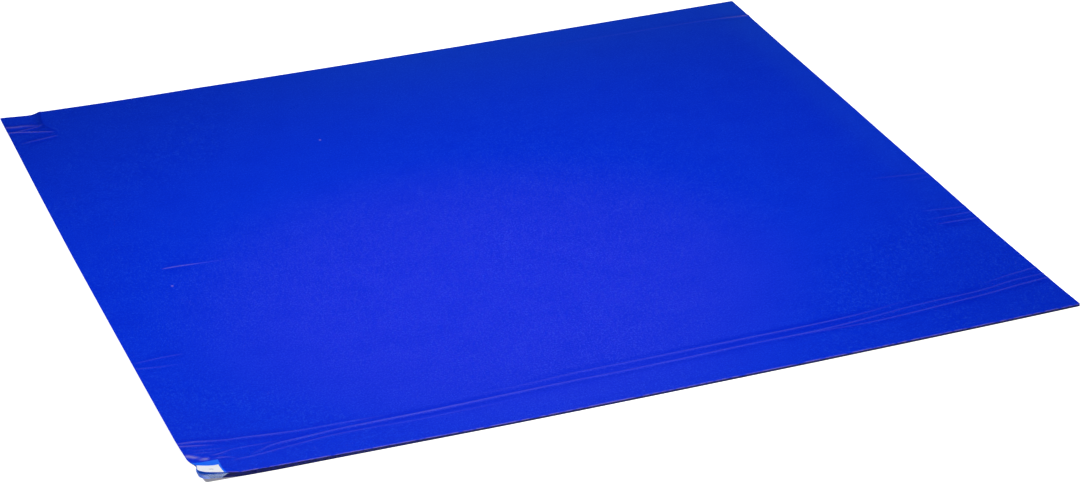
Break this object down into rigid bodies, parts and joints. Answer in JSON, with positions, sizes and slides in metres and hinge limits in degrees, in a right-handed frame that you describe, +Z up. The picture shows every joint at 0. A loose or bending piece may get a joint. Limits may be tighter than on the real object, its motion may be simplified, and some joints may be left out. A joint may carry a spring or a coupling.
{
  "type": "peel-off sticky floor mat",
  "caption": "Square pad of thin blue peel-off film sheets on a release liner, with a label tab on one corner of each sheet for lifting it.",
  "frame": {"origin": "middle of the mat's underside, on the floor", "axes": "+Z up off the floor, +X along the near edge and +Y along the left edge, away from the labelled corner"},
  "size_m": [0.914, 0.914, 0.0108],
  "materials": {
    "milky_liner": "satin, slightly see-through",
    "blue_film": "semi-gloss with a fine grain",
    "label_stock": "satin print film"
  },
  "bodies": {
    "root": {"release_liner": "milky_liner", "film_sheets": "blue_film", "sheet_labels": "label_stock", "top_sheet": "blue_film", "top_label": "label_stock"}
  },
  "joints": []
}
